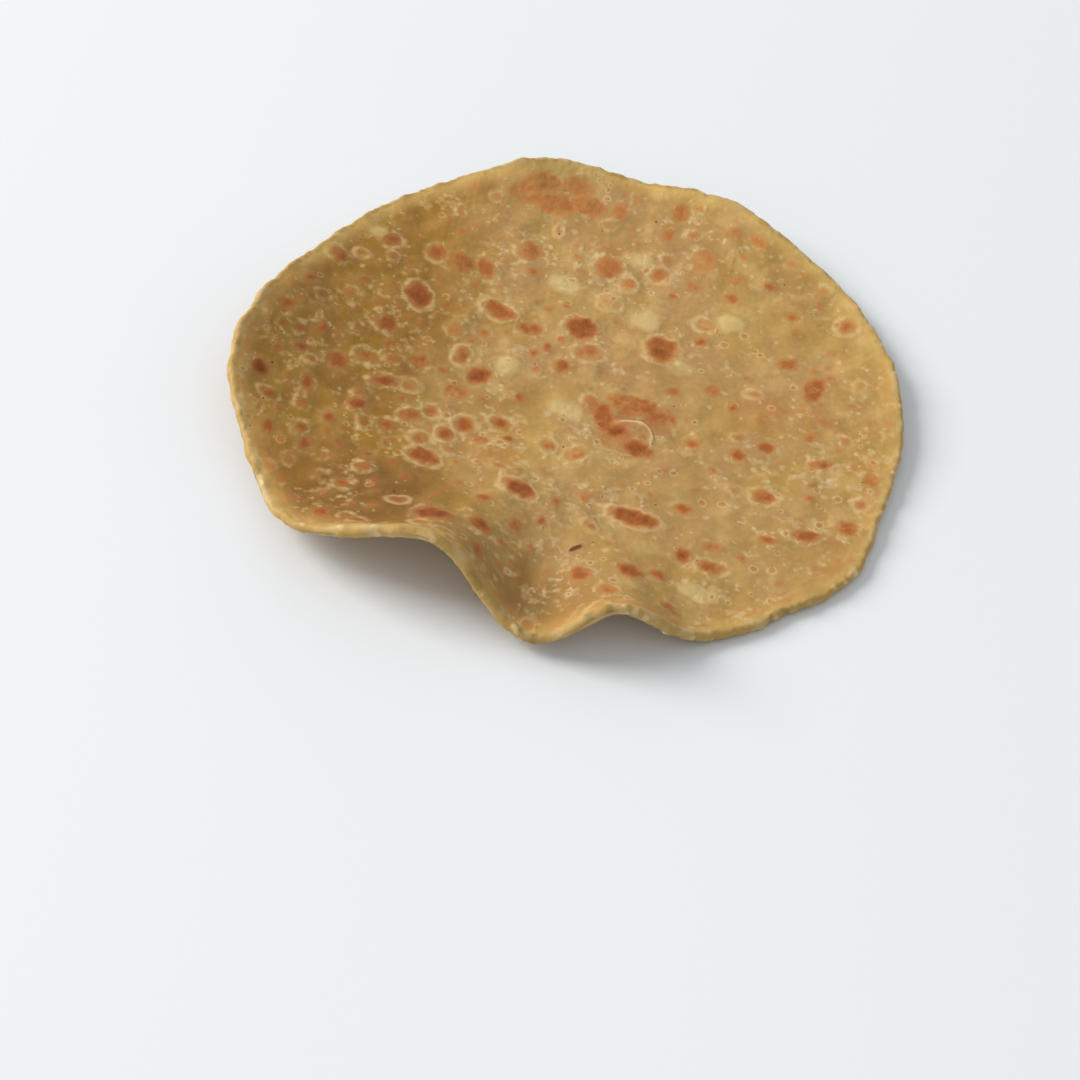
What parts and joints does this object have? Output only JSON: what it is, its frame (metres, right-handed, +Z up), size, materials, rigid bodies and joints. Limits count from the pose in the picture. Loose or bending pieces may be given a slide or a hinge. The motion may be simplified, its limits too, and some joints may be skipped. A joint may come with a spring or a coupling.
{
  "type": "chapati flatbread",
  "caption": "Round flatbread, dished and folded at its rim, with browned blisters; rests on a flat spot of its underside.",
  "frame": {"origin": "middle of the bread's box, at the height of the flat spot that it rests on", "axes": "+Z up out of the bread's upper face, -Y towards the side with the two folds, +X towards the level side"},
  "size_m": [0.1758, 0.1762, 0.0233],
  "materials": {
    "toasted_dough": "toasted wheat dough, slightly oily"
  },
  "bodies": {
    "root": {"chapati": "toasted_dough"}
  },
  "joints": []
}
